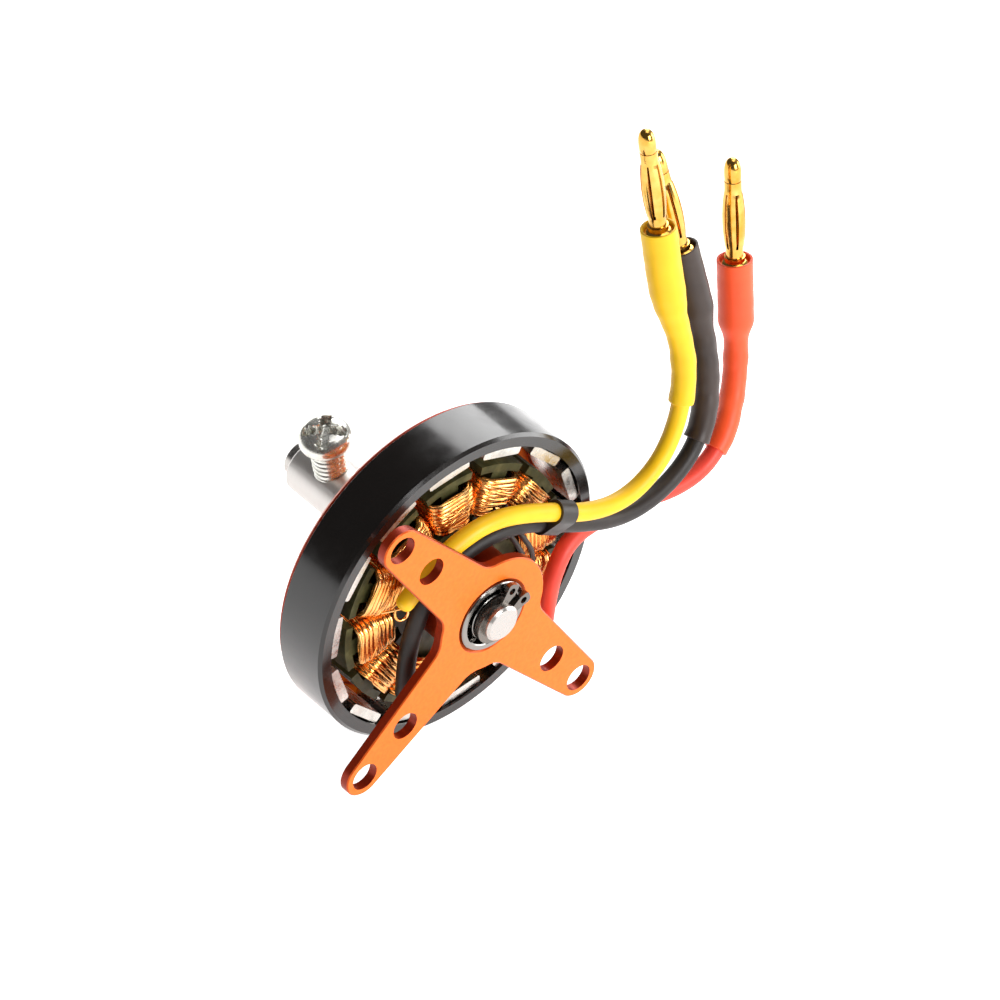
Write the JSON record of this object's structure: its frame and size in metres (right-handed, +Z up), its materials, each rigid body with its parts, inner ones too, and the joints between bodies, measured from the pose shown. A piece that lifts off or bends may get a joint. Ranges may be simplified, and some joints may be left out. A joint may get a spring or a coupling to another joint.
{
  "type": "brushless outrunner motor",
  "caption": "Small outrunner brushless motor with an X-shaped mounting plate, rubber-band prop saver on its shaft and flying leads ending in bullet connectors.",
  "frame": {"origin": "centre of the mounting plate's rear face, on the shaft axis", "axes": "+Y forward along the shaft towards the propeller, +Z up, +X to the right seen from behind, the side the leads leave on"},
  "size_m": [0.0444, 0.0247, 0.05],
  "materials": {
    "orange_anodised": "satin",
    "black_steel": "gloss",
    "steel": "satin",
    "bearing_steel": "polished",
    "clip_steel": "satin",
    "black_oxide": "satin",
    "silver_aluminium": "satin",
    "zinc": "gloss",
    "nickel": "gloss",
    "green_epoxy": "satin",
    "copper": "gloss",
    "yellow_silicone": "satin",
    "black_silicone": "satin",
    "red_silicone": "satin",
    "yellow_shrink": "satin",
    "black_shrink": "satin",
    "red_shrink": "satin",
    "gold": "polished",
    "black_band": "matt"
  },
  "bodies": {
    "stator": {"mount_plate": "orange_anodised", "bearing_tube": "orange_anodised", "rear_bearing_outer_race": "bearing_steel", "front_bearing_outer_race": "bearing_steel", "stator_core": "green_epoxy", "coils_phase_a": "copper", "coils_phase_b": "copper", "coils_phase_c": "copper", "lead_yellow": "yellow_silicone", "lead_black": "black_silicone", "lead_red": "red_silicone", "lead_band": "black_band", "sleeve_yellow": "yellow_shrink", "sleeve_black": "black_shrink", "sleeve_red": "red_shrink", "bullet_pin_yellow": "gold", "bullet_pin_black": "gold", "bullet_pin_red": "gold", "bullet_spring_yellow": "gold", "bullet_spring_black": "gold", "bullet_spring_red": "gold"},
    "rotor": {"shaft": "steel", "flux_ring": "black_steel", "magnets": "nickel", "end_bell": "orange_anodised", "bell_set_screws": "black_oxide", "rear_bearing_inner_race": "bearing_steel", "front_bearing_inner_race": "bearing_steel", "rear_shim": "clip_steel", "front_shim": "clip_steel", "circlip": "clip_steel", "prop_saver": "silver_aluminium", "prop_saver_screws": "zinc"},
    "rear_balls": {"rear_bearing_balls": "bearing_steel"},
    "front_balls": {"front_bearing_balls": "bearing_steel"}
  },
  "joints": [
    {"name": "rotor_spin", "type": "hinge", "parent": "stator", "child": "rotor", "pos_m": [0, 0, 0], "axis": [0, 1, 0], "continuous": true},
    {"name": "rear_balls_orbit", "type": "hinge", "parent": "stator", "child": "rear_balls", "pos_m": [0, 0.00129, 0], "axis": [0, 1, 0], "continuous": true},
    {"name": "front_balls_orbit", "type": "hinge", "parent": "stator", "child": "front_balls", "pos_m": [0, 0.00711, 0], "axis": [0, 1, 0], "continuous": true}
  ],
  "couplings": [
    {"joint": "rear_balls_orbit", "follows": "rotor_spin", "ratio": 0.395},
    {"joint": "front_balls_orbit", "follows": "rotor_spin", "ratio": 0.395}
  ]
}
